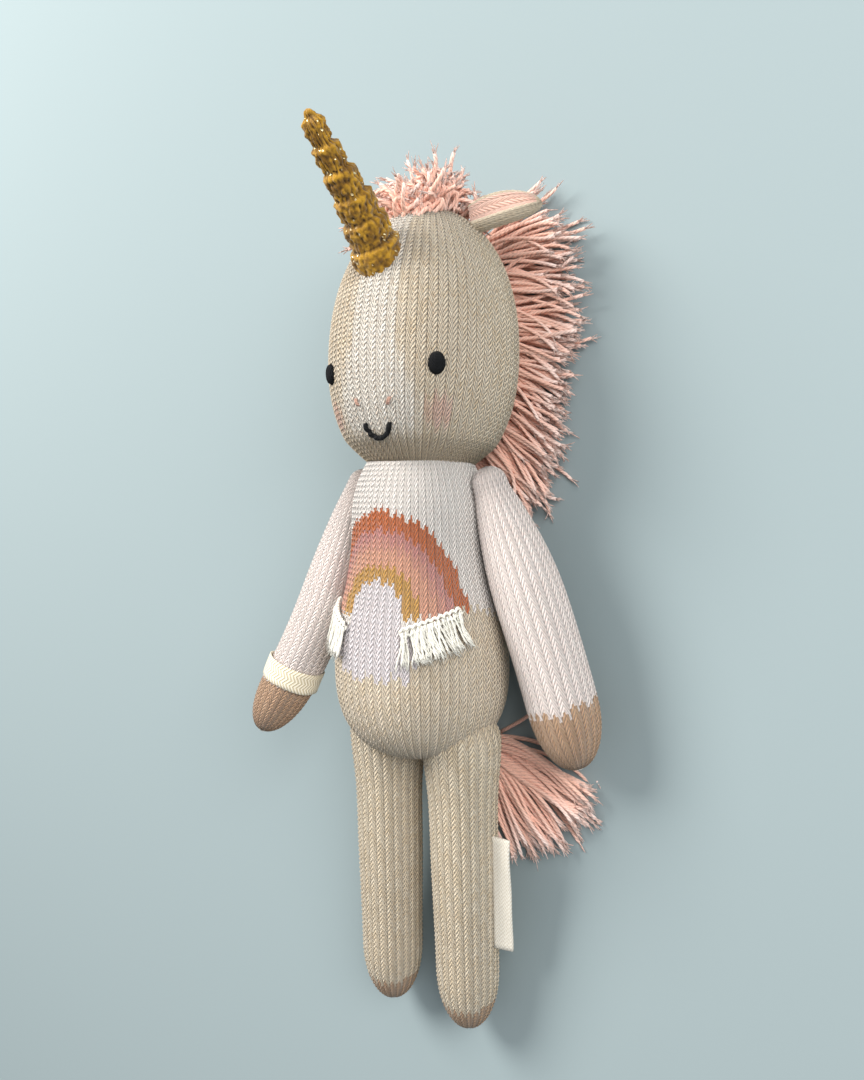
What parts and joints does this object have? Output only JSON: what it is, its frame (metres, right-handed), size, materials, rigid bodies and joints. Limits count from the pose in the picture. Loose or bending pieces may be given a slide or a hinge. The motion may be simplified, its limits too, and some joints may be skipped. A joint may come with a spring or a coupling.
{
  "type": "plush unicorn doll",
  "caption": "Knitted, stuffed unicorn doll lying on its back, with a crochet horn, strand mane and tail, soft-jointed head, arms, legs and ears.",
  "frame": {"origin": "on the surface that the doll lies on, under its back, at the flattened middle of the body cover's back", "axes": "+X to the doll's own left, +Y along the doll towards its crown, +Z out of its front; it lies on its back"},
  "size_m": [0.147, 0.3594, 0.115],
  "materials": {
    "body_knit": "heathered cotton knit, sweater with a knitted-in rainbow over a beige lower body",
    "head_knit": "heathered beige cotton knit with a white blaze",
    "arm_knit": "cream cotton knit with tan hand ends",
    "leg_knit": "marled beige cotton knit with tan toes",
    "ear_knit": "beige cotton knit",
    "ear_lining": "pink cotton knit",
    "horn_yarn": "mustard crochet yarn with a metallic thread",
    "mane_cotton": "peach cotton strands",
    "mane_tape": "woven cotton tape",
    "tail_cotton": "peach cotton strands",
    "fringe_cotton": "cream cotton fringe",
    "black_thread": "embroidery thread, satin",
    "brown_thread": "embroidery thread",
    "cream_thread": "sewing thread",
    "ribbon": "cream herringbone ribbon",
    "label_cotton": "cotton label tape",
    "fibrefill": "polyester fibre filling"
  },
  "bodies": {
    "torso": {"body_cover": "body_knit", "body_stuffing": "fibrefill", "back_seam": "cream_thread", "neck_thread": "cream_thread", "nape_left": "mane_cotton", "nape_right": "mane_cotton", "fringe_left": "fringe_cotton", "fringe_right": "fringe_cotton"},
    "neck": {"neck_stuffing": "fibrefill"},
    "head": {"head_cover": "head_knit", "head_stuffing": "fibrefill", "eye_left": "black_thread", "eye_right": "black_thread", "mouth_thread": "black_thread", "nostril_stitches": "brown_thread", "horn_cover": "horn_yarn", "horn_stuffing": "fibrefill", "horn_thread": "horn_yarn", "mane_tape": "mane_tape", "mane_crest": "mane_cotton", "mane_left": "mane_cotton", "mane_right": "mane_cotton"},
    "ear_left": {"ear_left": "ear_knit", "ear_left_lining": "ear_lining"},
    "ear_right": {"ear_right": "ear_knit", "ear_right_lining": "ear_lining"},
    "shoulder_left": {"shoulder_stitch_left": "cream_thread"},
    "shoulder_right": {"shoulder_stitch_right": "cream_thread"},
    "arm_left": {"arm_left_cover": "arm_knit", "arm_left_stuffing": "fibrefill", "hand_left_thread": "cream_thread"},
    "arm_right": {"arm_right_cover": "arm_knit", "arm_right_stuffing": "fibrefill", "hand_right_thread": "cream_thread", "wrist_band": "ribbon"},
    "leg_left": {"leg_left_cover": "leg_knit", "leg_left_stuffing": "fibrefill", "toe_left_thread": "cream_thread", "care_label": "label_cotton"},
    "leg_right": {"leg_right_cover": "leg_knit", "leg_right_stuffing": "fibrefill", "toe_right_thread": "cream_thread"},
    "tail": {"tail_knot": "tail_cotton", "tail_tassel": "tail_cotton"}
  },
  "joints": [
    {"name": "neck_turn", "type": "hinge", "parent": "torso", "child": "neck", "pos_m": [0, 0.084, 0.041], "axis": [0, 1, 0], "range_deg": [-35, 35]},
    {"name": "neck_nod", "type": "hinge", "parent": "neck", "child": "head", "pos_m": [0, 0.084, 0.041], "axis": [1, 0, 0], "range_deg": [-15, 20]},
    {"name": "ear_left_flop", "type": "hinge", "parent": "head", "child": "ear_left", "pos_m": [0.0216, 0.1814, 0.0354], "axis": [-0.3848, 0.8364, -0.3903], "range_deg": [-15, 15]},
    {"name": "ear_right_flop", "type": "hinge", "parent": "head", "child": "ear_right", "pos_m": [-0.0216, 0.1814, 0.0354], "axis": [-0.3848, -0.8364, 0.3903], "range_deg": [-15, 15]},
    {"name": "shoulder_left_swing", "type": "hinge", "parent": "torso", "child": "shoulder_left", "pos_m": [0.033, 0.076, 0.039], "axis": [-1, 0, 0], "range_deg": [-20, 85]},
    {"name": "arm_left_spread", "type": "hinge", "parent": "shoulder_left", "child": "arm_left", "pos_m": [0.033, 0.076, 0.039], "axis": [0, 0, 1], "range_deg": [0, 65]},
    {"name": "shoulder_right_swing", "type": "hinge", "parent": "torso", "child": "shoulder_right", "pos_m": [-0.033, 0.076, 0.04], "axis": [-1, 0, 0], "range_deg": [-35, 70]},
    {"name": "arm_right_spread", "type": "hinge", "parent": "shoulder_right", "child": "arm_right", "pos_m": [-0.033, 0.076, 0.04], "axis": [0, 0, -1], "range_deg": [0, 65]},
    {"name": "leg_left_swing", "type": "hinge", "parent": "torso", "child": "leg_left", "pos_m": [0.0187, -0.024, 0.032], "axis": [-1, 0, 0], "range_deg": [0, 75]},
    {"name": "leg_right_swing", "type": "hinge", "parent": "torso", "child": "leg_right", "pos_m": [-0.0187, -0.024, 0.032], "axis": [-1, 0, 0], "range_deg": [0, 75]},
    {"name": "tail_swing", "type": "hinge", "parent": "torso", "child": "tail", "pos_m": [0.012, -0.029, 0.005], "axis": [0, 0, 1], "range_deg": [-75, 10]}
  ]
}
